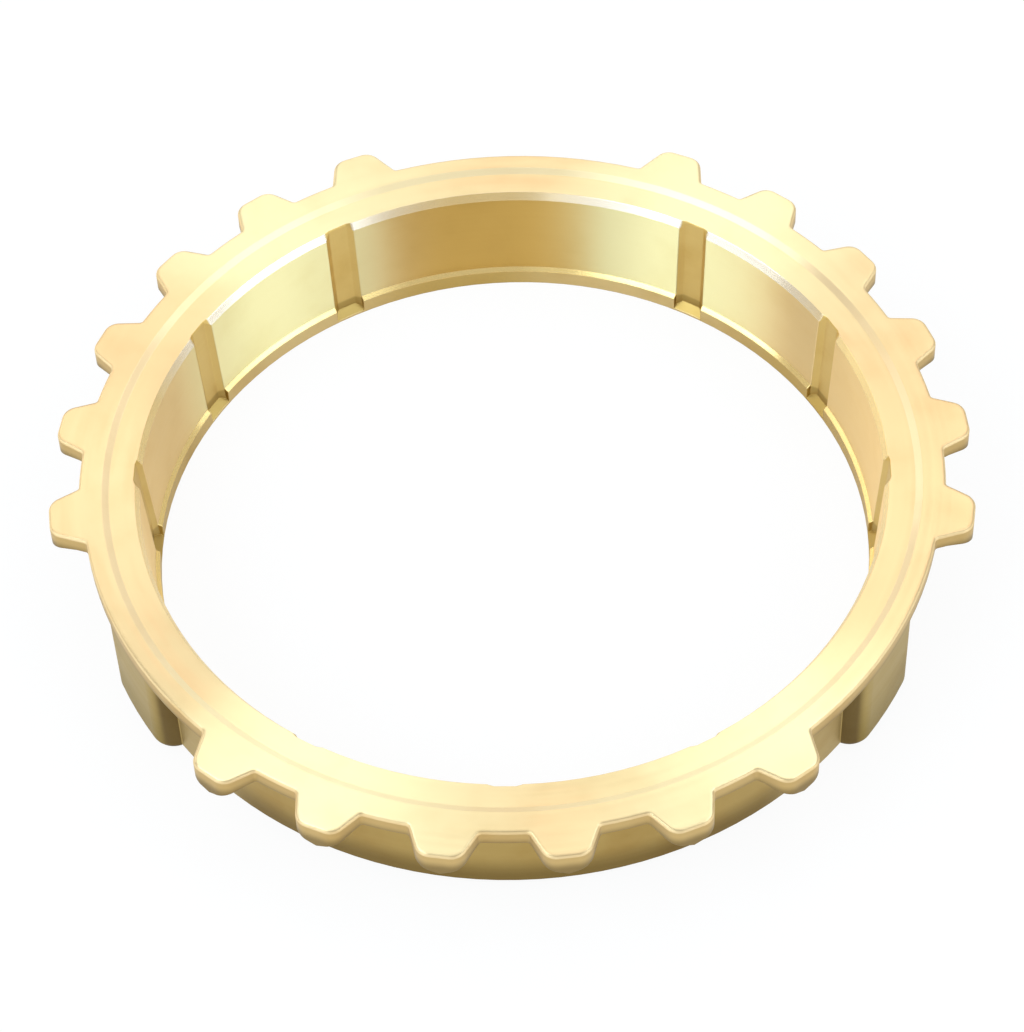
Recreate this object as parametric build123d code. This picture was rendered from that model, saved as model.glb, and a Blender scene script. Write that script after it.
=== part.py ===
from build123d import *
import os
from math import atan2, degrees, radians, tan

os.makedirs("parts", exist_ok=True)

# Synchronizer ring of a manual gearbox, one piece of turned and milled brass.
# The axis is Z. The origin is on the axis, in the face at the narrow end of the cone.
# The toothed flange is on top, at the wide end of the cone. Lengths are in millimetres.

# Ring body, with its bore and its wall measured at the wide end of the cone
ring_height = 12.25
bore_radius = 35.0
body_wall = 3.1
foot_chamfer_width = 1.0
foot_chamfer_height = 1.3

# Toothed flange at the top of the body
flange_thickness = 1.6
flange_overhang = 2.1
flange_edge_rounding = 0.35
tooth_height = 2.75
tooth_tip_width = 3.7
tooth_flank_angle = 24
tooth_pitch_angle = 15
tooth_tip_rounding = 1.5
tooth_root_rounding = 0.4

# The underside of each tooth slopes down from both flanks to a ridge along its middle
tooth_ridge_depth = 1.15
tooth_underside_angle = 22

# The teeth and grooves come in groups, and a lug stands in the wide gap between two groups
group_count = 3
first_group_angle = 270
teeth_per_group = 6

# The flange is a little smaller in the gaps than between the teeth of a group
gap_drop = 0.4

# Flat face around the bore, and the shallow sloping step from it up to the top face
inner_face_width = 2.4
step_width = 0.65
step_depth = 0.3

# Cone bore, wide at the top, above a narrow ledge and a straight lip
bore_chamfer_width = 0.4
bore_chamfer_depth = 0.75
cone_angle = 3.1
ledge_width = 0.4
ledge_depth = 0.35
lip_height = 1.6

# Shallow oil grooves along the cone wall, with sloping sides; the width is at the wall
grooves_per_group = 3
groove_pitch_angle = 30
groove_width = 3.0
groove_floor_width = 1.9
groove_depth = 0.45
groove_floor_rounding = 0.3

# At the top each groove turns outwards along the chamfer and notches the bore's edge
groove_mouth_depth = 0.15

# Each groove slopes out through the lip and ends a little above the foot
groove_end_angle = 50
groove_end_height = 0.2

# Drive lugs on the body, under the flange and flush with its edge in the gaps
lug_width = 10.8
lug_corner_rounding = 2.2
lug_foot_height = 0.85
lug_foot_rounding = 0.8

# How far a cutting or joining shape reaches past the surface that it meets
overshoot = 1.0

body_radius = bore_radius + body_wall
flange_radius = body_radius + flange_overhang
gap_radius = flange_radius - gap_drop
tip_radius = flange_radius + tooth_height
flange_floor = ring_height - flange_thickness
ridge_level = flange_floor - tooth_ridge_depth
inner_face = ring_height - step_depth
cone_top = inner_face - bore_chamfer_depth
cone_top_radius = bore_radius - bore_chamfer_width
ledge_top = lip_height + ledge_depth
group_angles = [first_group_angle + n * 360 / group_count for n in range(group_count)]
lug_angles = [angle + 180 / group_count for angle in group_angles]


# Radius of the cone wall at a height above the origin
def cone_radius(height):
    return cone_top_radius - (cone_top - height) * tan(radians(cone_angle))


# Inner radius of the straight lip below the ledge
def lip_radius():
    return cone_radius(ledge_top) - ledge_width


# Angles of evenly spaced features, centred on each group of teeth
def angles_in_groups(count, pitch):
    first = -(count - 1) / 2 * pitch
    return [group + first + n * pitch for group in group_angles for n in range(count)]


# Copies of a shape turned about Z to each of some angles
def copies_at(angles, shape):
    return [Rot(0, 0, angle) * shape for angle in angles]


# A flat face with straight edges between its corners
def flat_face(corners):
    return make_face(Polyline(*corners, close=True))


# A solid of revolution about Z from corners given as radius and height
def turned(corners):
    return revolve(flat_face([(radius, 0, height) for radius, height in corners]), Axis.Z)


# The rim between the first and last teeth of one group along X, as a slice in plan
def group_slice():
    half_angle = radians((teeth_per_group - 1) / 2 * tooth_pitch_angle)
    across = flange_radius * tan(half_angle)
    return flat_face([(0, 0), (flange_radius, -across), (flange_radius, across)]) & Circle(flange_radius)


# One tooth in plan, pointing along X, with its root inside the flange
def tooth_outline():
    root = gap_radius - overshoot
    tip_half = tooth_tip_width / 2
    root_half = tip_half + (tip_radius - root) * tan(radians(tooth_flank_angle))
    return flat_face([(root, -root_half), (tip_radius, -tip_half), (tip_radius, tip_half), (root, root_half)])


# The flange and its teeth in plan, rounded at the corners
def flange_plan():
    plan = Circle(gap_radius) + copies_at(group_angles, group_slice())
    plan += copies_at(angles_in_groups(teeth_per_group, tooth_pitch_angle), tooth_outline())
    middle = flange_radius + tooth_height / 2
    roots = [corner for corner in plan.vertices() if Vector(corner).length < middle]
    plan = fillet(roots, tooth_root_rounding)
    tips = [corner for corner in plan.vertices() if Vector(corner).length > middle]
    return fillet(tips, tooth_tip_rounding)


# The sloping underside of one tooth along X, as a bar with its ridge down
def tooth_ridge():
    half_width = tooth_ridge_depth / tan(radians(tooth_underside_angle))
    start = body_radius - overshoot
    corners = [
        (start, 0, ridge_level),
        (start, half_width, flange_floor),
        (start, half_width, ring_height),
        (start, -half_width, ring_height),
        (start, -half_width, flange_floor),
    ]
    return extrude(flat_face(corners), tip_radius + overshoot - start, dir=(1, 0, 0))


# The flange with its teeth, rounded along the top edge and ridged below the teeth
def toothed_flange():
    blank = extrude(Pos(0, 0, ridge_level) * flange_plan(), ring_height - ridge_level)
    blank = fillet(blank.edges().group_by(Axis.Z)[-1], flange_edge_rounding)
    reach = tip_radius + overshoot
    envelope = turned([(0, flange_floor), (reach, flange_floor), (reach, ring_height), (0, ring_height)])
    envelope += copies_at(angles_in_groups(teeth_per_group, tooth_pitch_angle), tooth_ridge())
    return blank & envelope


# The plain body below the flange
def body():
    return turned(
        [
            (0, 0),
            (body_radius - foot_chamfer_width, 0),
            (body_radius, foot_chamfer_height),
            (body_radius, flange_floor),
            (0, flange_floor),
        ]
    )


# One lug along X: a block with a curved face and rounded corners, with its root inside the body
def lug():
    bar = Rectangle(gap_radius - bore_radius, lug_width, align=(Align.MIN, Align.CENTER))
    plan = Pos(bore_radius, 0) * bar & Circle(gap_radius)
    plan = fillet(plan.vertices().group_by(Axis.X)[-1], lug_corner_rounding)
    block = extrude(Pos(0, 0, lug_foot_height) * plan, flange_floor - lug_foot_height)
    foot = block.edges().group_by(Axis.Z)[0].sort_by(Axis.X)[1:]
    return fillet(foot, lug_foot_rounding)


# What is turned out of the middle, from the step on the top face to the lip at the foot
def bore():
    step_start = bore_radius + inner_face_width
    step_end = step_start + step_width
    above = ring_height + overshoot
    return turned(
        [
            (0, -overshoot),
            (lip_radius(), -overshoot),
            (lip_radius(), lip_height),
            (cone_radius(ledge_top), ledge_top),
            (cone_top_radius, cone_top),
            (bore_radius, inner_face),
            (step_start, inner_face),
            (step_end, ring_height),
            (step_end, above),
            (0, above),
        ]
    )


# A bar with a groove's section, which sinks some depth into a wall that leans out from Z by an angle
def groove_bar(depth, lean):
    inside = bore_radius / 2
    section = [
        (-inside, -groove_width / 2),
        (0, -groove_width / 2),
        (depth, -groove_floor_width / 2),
        (depth, groove_floor_width / 2),
        (0, groove_width / 2),
        (-inside, groove_width / 2),
    ]
    bar = extrude(flat_face(section), ring_height + overshoot, both=True)
    bar = fillet(bar.edges().filter_by(Axis.Z).group_by(Axis.X)[-1], groove_floor_rounding)
    return Pos(cone_top_radius, 0, cone_top) * Rot(0, lean, 0) * bar


# What lies above the sloping end of a groove along X
def groove_reach():
    inside = bore_radius / 2
    above = ring_height + overshoot
    end_run = (above - groove_end_height) * tan(radians(groove_end_angle))
    side = [
        (inside, 0, groove_end_height),
        (lip_radius(), 0, groove_end_height),
        (lip_radius() + end_run, 0, above),
        (inside, 0, above),
    ]
    return extrude(flat_face(side), groove_width, both=True)


# One oil groove along X, whose floor runs parallel to the cone wall and then to the chamfer
def groove():
    chamfer_angle = degrees(atan2(bore_chamfer_width, bore_chamfer_depth))
    cut = groove_bar(groove_depth, cone_angle) + groove_bar(groove_mouth_depth, chamfer_angle)
    return cut & groove_reach()


def synchronizer_ring():
    ring = toothed_flange() + body()
    ring += copies_at(lug_angles, lug())
    ring -= bore()
    ring -= copies_at(angles_in_groups(grooves_per_group, groove_pitch_angle), groove())
    return ring


export_step(synchronizer_ring(), "parts/synchronizer_ring.step")
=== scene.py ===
import bpy
from math import cos, radians, sin
from mathutils import Matrix, Vector

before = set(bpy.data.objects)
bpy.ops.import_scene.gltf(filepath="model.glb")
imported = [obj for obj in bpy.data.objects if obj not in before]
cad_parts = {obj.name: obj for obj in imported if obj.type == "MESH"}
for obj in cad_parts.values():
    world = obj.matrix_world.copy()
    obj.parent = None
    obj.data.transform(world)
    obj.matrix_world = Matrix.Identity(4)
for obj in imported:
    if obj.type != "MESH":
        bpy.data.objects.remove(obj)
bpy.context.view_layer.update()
scene = bpy.context.scene
scene.view_settings.view_transform = "Standard"
print("frame loaded")


# The photograph's view, with the object's axis at x = y = 0
view = {
    "target": (0.00016, -0.00551, 0.01205),  # middle of the picture, near the face round the bore
    "distance": 0.3384,
    "azimuth": 2.91,
    "elevation": 52.21,
    "roll": -2.58,
    "lens": 129.4,
    "sensor": 36.0,
    "nearest": 0.01,
    "furthest": 20,
}


def makeCamera():
    turn, rise = radians(view["azimuth"]), radians(view["elevation"])
    back = Vector((sin(turn) * cos(rise), -cos(turn) * cos(rise), sin(rise)))
    level = back.to_track_quat("Z", "Y").to_matrix()
    data = bpy.data.cameras.new("camera")
    data.lens = view["lens"]
    data.sensor_width = view["sensor"]
    data.sensor_fit = "HORIZONTAL"
    data.clip_start = view["nearest"]
    data.clip_end = view["furthest"]
    camera = bpy.data.objects.new("camera", data)
    camera.matrix_world = (level @ Matrix.Rotation(radians(view["roll"]), 3, "Z")).to_4x4()
    camera.location = Vector(view["target"]) + back * view["distance"]
    scene.collection.objects.link(camera)
    scene.camera = camera


makeCamera()
print("camera placed")


class Wire:
    # One socket of a material's nodes, with sums written as Python expressions
    def __init__(self, tree, socket=None):
        self.tree = tree
        self.socket = socket

    def node(self, kind, settings=None, **inputs):
        # An input is named, with _ for a space, or numbered as i0, i1 and so on
        made = self.tree.nodes.new("ShaderNode" + kind)
        for name, value in (settings or {}).items():
            setattr(made, name, value)
        for name, value in inputs.items():
            socket = made.inputs[int(name[1:]) if name[1:].isdigit() else name.replace("_", " ")]
            if isinstance(value, Wire):
                self.tree.links.new(value.socket, socket)
            else:
                socket.default_value = value
        return made

    def out(self, made, name=0):
        return Wire(self.tree, made.outputs[name])

    def maths(self, operation, *others):
        inputs = {"i" + str(n): value for n, value in enumerate((self, *others))}
        return self.out(self.node("Math", {"operation": operation}, **inputs))

    def __add__(self, other):
        return self.maths("ADD", other)

    def __radd__(self, other):
        return self + other

    def __sub__(self, other):
        return self.maths("SUBTRACT", other)

    def __rsub__(self, other):
        return self * -1 + other

    def __mul__(self, other):
        return self.maths("MULTIPLY", other)

    def __rmul__(self, other):
        return self * other

    def __truediv__(self, other):
        return self.maths("DIVIDE", other)

    def larger(self, other):
        return self.maths("MAXIMUM", other)

    def ramp(self, low, high):
        # 0 below low, 1 above high, with a smooth rise between
        settings = {"interpolation_type": "SMOOTHSTEP"}
        return self.out(self.node("MapRange", settings, Value=self, i1=low, i2=high))

    def within(self, low, high, fade=0.03):
        # 1 between low and high, 0 outside them
        return self.ramp(low - fade, low + fade) * (1 - self.ramp(high - fade, high + fade))


def mixColour(low, high, share, blend="MIX"):
    # share times high over low; each is a colour or a Wire
    low, high = (paint if isinstance(paint, Wire) else (*paint, 1) for paint in (low, high))
    settings = {"data_type": "RGBA", "blend_type": blend}
    return share.out(share.node("Mix", settings, i0=share, i6=low, i7=high), 2)


# Brass as it comes off the lathe, the mill and the forging die, with painted highlights and painted
# shade among the colours as marked
brass = {
    "top": (0.92, 0.72, 0.39),
    # Top face: the pale colour is painted highlight at set angles; the warm one is painted shade at
    # set angles and the brass's own tone in streaks
    "topWarmAndPaintedShade": (0.93, 0.665, 0.345),
    "topPaintedHighlight": (0.93, 0.79, 0.45),
    "step": (0.92, 0.73, 0.43),
    # Painted highlight: the step's pale colour at set angles
    "stepPaintedHighlight": (0.99, 0.86, 0.53),
    "chamfer": (0.92, 0.72, 0.36),
    # Painted highlight: the chamfer's pale colour at set angles
    "chamferPaintedHighlight": (0.96, 0.91, 0.80),
    "ledge": (0.92, 0.70, 0.29),
    "cone": (0.84, 0.62, 0.30),
    # Painted highlight (the pale colour) and painted shade (the darker, richer colour) on the cone
    # wall at set angles
    "conePaintedHighlight": (0.83, 0.745, 0.395),
    "conePaintedShade": (0.78, 0.50, 0.13),
    # Painted shade: the grooves are darker than the cone, and darker still at their lower end
    "groove": (0.66, 0.47, 0.16),
    "grooveEndPaintedShade": (0.46, 0.32, 0.10),
    "lip": (0.52, 0.36, 0.11),
    # Painted highlight: the lip's pale colour, at the cone's highlight angles
    "lipPaintedHighlight": (0.66, 0.50, 0.23),
    "rimHigh": (0.60, 0.42, 0.165),  # sides of the flange and teeth, above and below; the lower one is painted shade, darker towards the underside
    "rimLowPaintedShade": (0.28, 0.19, 0.065),
    "body": (0.48, 0.33, 0.10),
    # Painted shade: the body darkens towards its foot
    "foot": (0.24, 0.155, 0.035),
    "besideLugPaintedShade": (0.50, 0.365, 0.14),  # painted shade beside the lugs, in a duller tone
    "lug": (0.43, 0.31, 0.10),
    # Painted shade: the lugs darken towards their foot
    "lugFootPaintedShade": (0.32, 0.225, 0.05),
    # Painted shade on the lugs' side faces
    "lugSidePaintedShade": (0.17, 0.11, 0.03),
    "worn": (0.80, 0.62, 0.34),  # dull line along the outer edge of the flange
    "stain": (0.86, 0.78, 0.62),
    "stained": 0.6,  # how strongly stains show, and how much less on turned faces
    "stainedLess": 0.35,
    "topRoughness": 0.33,
    "coneRoughness": 0.45,
    "edgeRoughness": 0.25,
    "stepRoughness": 0.34,
    "milledRoughness": 0.45,
    "wornRoughness": 0.6,
    "markRoughness": 0.12,  # how far marks and stains change the roughness
    "stainRoughness": 0.1,
    "grainStrength": 0.25,
    "markStrength": 0.2,
    "brightLess": 0.8,  # share of the turning marks that finely cut edges lack
    "marks": (2.4, 2.4, 1, 4.0),  # changes per mm outwards and upwards, rate round the axis, detail
    "streaks": (0.5, 0.35, 3, 2.0),
    "clouds": (160.0, 4.0),  # scale and detail
    "grain": (2600.0, 3.0),
    "relief": 0.00002,  # metres
    "corner": 0.00015,  # metres over which a corner looks rounded, and over which it is worn
    "wornWidth": 0.0005,
    "bevelSamples": 6,
    "anisotropy": 1.0,  # on turned faces, with its turn set for a highlight across the marks
    "anisotropyTurn": 0.25,
}

# Angles round the ring, in degrees, where highlights and shade are painted into the brass (paler is
# painted highlight, warmer or richer is painted shade), and how far each reaches
places = {
    "topWarmAndPaintedShade": ((0, 150, 330), 28),
    "topPaintedHighlight": ((60, 122, 248, 303), 30),
    "stepPaintedHighlight": ((72, 110, 240, 300), 32),
    "chamferPaintedHighlight": ((58, 134), 34),
    "conePaintedHighlight": ((67, 134), 28),
    "conePaintedShade": ((95,), 21),
}

# Measures of the solid that tell its surfaces apart, in millimetres
shape = {
    "coneTop": 11.2,
    "coneTopRadius": 34.6,
    "coneSlope": 0.054161,
    "chamferSlope": 0.5333,
    "lipRadius": 33.699,
    "ledge": (1.6, 1.95),  # heights
    "step": (37.4, 38.05),  # radii
}

# From where to where each mask rises from 0 to 1
rises = {
    # Heights in millimetres
    "lipTop": (1.55, 1.6),
    "aboveRidges": (9.2, 9.4),  # the ridges under the teeth
    "flangeFloor": (10.55, 10.65),
    "coneTop": (11.18, 11.22),
    "topFace": (11.55, 11.75),
    "wornEdge": (11.8, 11.95),
    # Painted shade: body, lugs and rim grow darker lower down over these heights
    "bodyColour": (1.8, 5.4),
    "lugColour": (1.5, 8.5),
    "rimColour": (10.2, 11.5),
    # Radii and depths in millimetres
    "pastBore": (35.9, 36.0),
    "outside": (38.15, 38.2),
    "groove": (0.03, 0.08),
    # How far a face looks up, or away from the axis, from 0 to 1
    "facingUp": (0.6, 0.95),
    "rounding": (0.05, 0.3),
    "pastRounding": (0.8, 0.97),
    "lugFront": (0.75, 0.97),
    # How little the surface bends over the worn width, and how near a lug's middle a place is
    "flat": (0.8, 0.97),
    "lug": (0.895, 0.905),
    # where the painted shade beside the lugs reaches
    "besideLug": (0.3, 0.75),
    # Noise
    "streak": (0.4, 0.65),
    "stain": (0.45, 0.75),
}


def makeBrass():
    material = bpy.data.materials.new("brass")
    material.use_nodes = True
    tree = material.node_tree
    tree.nodes.remove(tree.nodes["Principled BSDF"])
    start = Wire(tree)

    # Places in millimetres, and the ways that the surface faces
    coords = start.node("TexCoord")
    place = start.out(coords, "Object")
    split = start.node("SeparateXYZ", Vector=place)
    x, y, height = (start.out(split, n) * 1000 for n in range(3))
    radius = (x * x + y * y).maths("SQRT")
    cosine, sine = x / radius, y / radius
    third = sine * sine * sine * 4 - sine * 3  # 1 at the middle of each lug
    facing = start.node("SeparateXYZ", Vector=start.out(coords, "Normal"))
    up = start.out(facing, 2)
    outwards = start.out(facing, 0) * cosine + start.out(facing, 1) * sine

    # How near a place is to one of some angles round the ring, from 0 to 1
    def near(name):
        angles, spread = places[name]
        shares = []
        for angle in angles:
            along = cosine * cos(radians(angle)) + sine * sin(radians(angle))
            shares.append(along.ramp(cos(radians(spread)), 1))
        nearest = shares[0]
        for share in shares[1:]:
            nearest = nearest.larger(share)
        return nearest

    # A mask that rises from 0 to 1 with a value
    def masked(value, name):
        return value.ramp(*rises[name])

    # Noise that runs round the axis, and noise that is the same every way
    def rings(outward, upward, turns, detail):
        lie = start.node("CombineXYZ", X=radius * outward, Y=height * upward, Z=cosine * turns)
        settings = {"noise_dimensions": "4D"}
        inputs = {"Vector": start.out(lie), "W": sine * turns, "Scale": 1.0, "Detail": detail}
        return start.out(start.node("TexNoise", settings, **inputs), "Fac")

    def specks(scale, detail):
        return start.out(start.node("TexNoise", Vector=place, Scale=scale, Detail=detail), "Fac")

    def bevelled(width):
        return start.out(start.node("Bevel", {"samples": brass["bevelSamples"]}, Radius=width))

    # Where each surface is
    top = masked(up, "facingUp") * masked(height, "topFace")
    fromConeTop = height - shape["coneTop"]
    coneRadius = shape["coneTopRadius"] + fromConeTop * shape["coneSlope"]
    chamferRadius = shape["coneTopRadius"] + fromConeTop * shape["chamferSlope"]
    wallRadius = coneRadius.larger(chamferRadius)
    belowLedge = 1 - height.ramp(*shape["ledge"])
    depth = radius - wallRadius - belowLedge * (shape["lipRadius"] - wallRadius)
    bore = (1 - masked(radius, "pastBore")) * (1 - top)
    groove = masked(depth, "groove") * bore
    wall = bore * (1 - groove)
    chamfer = masked(height, "coneTop") * wall
    ledge = height.within(*shape["ledge"]) * wall
    lip = (1 - masked(height, "lipTop")) * wall
    step = radius.within(*shape["step"]) * top
    outside = masked(radius, "outside")
    lug = masked(third, "lug") * outside * (1 - masked(height, "flangeFloor"))
    # where the lugs' side faces get painted shade
    lugSidePaintedShade = lug * (1 - masked(outwards, "lugFront"))
    rim = outside * masked(height, "aboveRidges") * (1 - lug) * (1 - top)
    body = (1 - outside) * (1 - bore) * (1 - top)
    bright = chamfer.larger(ledge).larger(step)
    turned = top.larger(wall * (1 - lip))

    # The flange's outer edge is worn, on its rounding and on the sharp corners beside it
    flat = start.out(start.node("NewGeometry"), "True Normal")
    settings = {"operation": "DOT_PRODUCT"}
    bend = start.node("VectorMath", settings, i0=bevelled(brass["wornWidth"]), i1=flat)
    corner = 1 - masked(start.out(bend, "Value"), "flat")
    rounding = masked(up, "rounding") * (1 - masked(up, "pastRounding"))
    line = corner.larger(rounding) * outside * masked(height, "wornEdge")

    marks = rings(*brass["marks"])
    streak = rings(*brass["streaks"])
    cloud = specks(*brass["clouds"])
    grain = specks(*brass["grain"])

    # Painted shade: darker towards the foot of the body, the rim's underside and the lugs' foot
    bodyColour = mixColour(brass["foot"], brass["body"], masked(height, "bodyColour"))
    rimColour = mixColour(brass["rimLowPaintedShade"], brass["rimHigh"], masked(height, "rimColour"))
    lugColour = mixColour(brass["lugFootPaintedShade"], brass["lug"], masked(height, "lugColour"))
    # Painted highlights and painted shade on the cone and lip at set angles
    coneColour = mixColour(brass["cone"], brass["conePaintedHighlight"], near("conePaintedHighlight"))
    coneColour = mixColour(coneColour, brass["conePaintedShade"], near("conePaintedShade"))
    lipColour = mixColour(brass["lip"], brass["lipPaintedHighlight"], near("conePaintedHighlight"))
    # The top's warm streaks are the brass's own tone; its warm and pale places are painted shade
    # and painted highlight
    topColour = mixColour(brass["top"], brass["topWarmAndPaintedShade"], masked(streak, "streak"))
    topColour = mixColour(topColour, brass["topWarmAndPaintedShade"], near("topWarmAndPaintedShade"))
    topColour = mixColour(topColour, brass["topPaintedHighlight"], near("topPaintedHighlight"))
    # Painted highlights on the step and chamfer at set angles
    stepColour = mixColour(brass["step"], brass["stepPaintedHighlight"], near("stepPaintedHighlight"))
    chamferColour = mixColour(brass["chamfer"], brass["chamferPaintedHighlight"], near("chamferPaintedHighlight"))

    # Each paint goes over those before it
    colour = bodyColour
    for paint, share in (
        (rimColour, rim),
        # painted shade beside the lugs
        (brass["besideLugPaintedShade"], masked(third, "besideLug") * body),
        (lugColour, lug),
        # painted shade on the lugs' side faces
        (brass["lugSidePaintedShade"], lugSidePaintedShade),
        (coneColour, wall),
        # painted shade in the grooves, darker at their lower end
        (brass["groove"], groove),
        (brass["grooveEndPaintedShade"], groove * belowLedge),
        (lipColour, lip),
        (topColour, top),
        (stepColour, step),
        (chamferColour, chamfer),
        (brass["ledge"], ledge),
        (brass["worn"], line),
    ):
        colour = mixColour(colour, paint, share)
    stained = masked(cloud, "stain") * (brass["stained"] - turned * brass["stainedLess"])
    colour = mixColour(colour, brass["stain"], stained, "MULTIPLY")

    rough = brass["milledRoughness"] - top * (brass["milledRoughness"] - brass["topRoughness"])
    rough = rough + wall * (brass["coneRoughness"] - brass["milledRoughness"])
    for share, wanted in (
        (bright, brass["edgeRoughness"]),
        (step, brass["stepRoughness"]),
        (line, brass["wornRoughness"]),
    ):
        rough = rough + share * (wanted - rough)
    rough = rough + (marks - 0.5) * brass["markRoughness"] + (cloud - 0.5) * brass["stainRoughness"]

    # One shader for the milled and forged faces, and one for the turned faces
    fineMarks = marks * (1 - bright * brass["brightLess"])
    rounded = bevelled(brass["corner"])
    shaders = []
    for relief, strength, amount, turn in (
        (grain, brass["grainStrength"], 0, 0),
        (fineMarks, brass["markStrength"], brass["anisotropy"], brass["anisotropyTurn"]),
    ):
        inputs = {"Strength": strength, "Distance": brass["relief"], "Height": relief}
        bump = start.out(start.node("Bump", Normal=rounded, **inputs))
        inputs = {"Base_Color": colour, "Metallic": 1.0, "Roughness": rough, "Normal": bump}
        inputs.update({"Anisotropic": amount, "Anisotropic_Rotation": turn})
        shaders.append(start.out(start.node("BsdfPrincipled", **inputs)))
    both = start.out(start.node("MixShader", Fac=turned, i1=shaders[0], i2=shaders[1]))
    tree.links.new(both.socket, tree.nodes["Material Output"].inputs["Surface"])
    return material


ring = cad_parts["synchronizer_ring"]
ring.data.materials[0] = makeBrass()
print("brass made")


studio = {
    "floor": 1.6,  # width of the floor in metres
    "floorGap": 0.00002,  # the floor lies this far below the ring's foot
    "wall": 0.8,  # distance of the backdrop behind the object
    "paper": 0.85,
    "glow": 0.92,  # share of the paper's own white that the camera sees over its shading
    "mirrored": 0.5,  # the same share as seen in the metal
    "sky": 0.66,
    "lampDistance": 0.8,
    "lampSize": 0.6,
}

# Lamps look at the ring; a cool one has a little less red and more blue
lamps = {
    "back": {"azimuth": 75, "rise": 65, "power": 1.0, "cool": 0},
    "left": {"azimuth": 212, "rise": 42, "power": 3.5, "cool": 0.15},
    "leftLow": {"azimuth": 240, "rise": 25, "power": 0.6, "cool": 0.15},
    "right": {"azimuth": 350, "rise": 38, "power": 1.7, "cool": 0.15},
    "rightLow": {"azimuth": 330, "rise": 25, "power": 1.4, "cool": 0.15},
    "backLeft": {"azimuth": 150, "rise": 20, "power": 1.2, "cool": 0},
}


def makePaper():
    material = bpy.data.materials.new("paper")
    material.use_nodes = True
    tree = material.node_tree
    tree.nodes.remove(tree.nodes["Principled BSDF"])
    start = Wire(tree)
    path = start.node("LightPath")
    seen = start.out(path, "Is Camera Ray") * studio["glow"]
    seen = seen + start.out(path, "Is Glossy Ray") * studio["mirrored"]
    seen = seen + start.out(path, "Is Transmission Ray") * studio["glow"]
    pale = (studio["paper"],) * 3 + (1,)
    plain = start.out(start.node("BsdfDiffuse", Color=pale))
    white = start.out(start.node("Emission", Color=(1, 1, 1, 1), Strength=1.0))
    both = start.out(start.node("MixShader", Fac=seen, i1=plain, i2=white))
    tree.links.new(both.socket, tree.nodes["Material Output"].inputs["Surface"])
    return material


def makeStage():
    paper = makePaper()
    width = studio["floor"]
    for name, place, turn in (
        ("floor", (0, 0, -studio["floorGap"]), 0),
        ("backdrop", (0, studio["wall"], width / 2), radians(90)),
    ):
        bpy.ops.mesh.primitive_plane_add(size=width, location=place, rotation=(turn, 0, 0))
        sheet = bpy.context.object
        sheet.name = name
        sheet.data.materials.append(paper)


def makeWorld():
    world = bpy.data.worlds.new("studio")
    world.use_nodes = True
    scene.world = world
    tree = world.node_tree
    start = Wire(tree)
    camera = start.out(start.node("LightPath"), "Is Camera Ray")
    strength = studio["sky"] + camera * (1 - studio["sky"])
    background = tree.nodes["Background"]
    background.inputs["Color"].default_value = (1, 1, 1, 1)
    tree.links.new(strength.socket, background.inputs["Strength"])


def makeLamps():
    for name, values in lamps.items():
        data = bpy.data.lights.new(name, "AREA")
        data.size = studio["lampSize"]
        data.energy = values["power"]
        data.color = (1 - values["cool"], 1, 1 + values["cool"])
        lamp = bpy.data.objects.new(name, data)
        turn, rise = radians(values["azimuth"]), radians(values["rise"])
        away = Vector((cos(turn) * cos(rise), sin(turn) * cos(rise), sin(rise)))
        lamp.location = away * studio["lampDistance"]
        lamp.rotation_euler = away.to_track_quat("Z", "Y").to_euler()
        scene.collection.objects.link(lamp)


makeStage()
makeWorld()
makeLamps()
print("stage and lamps placed")
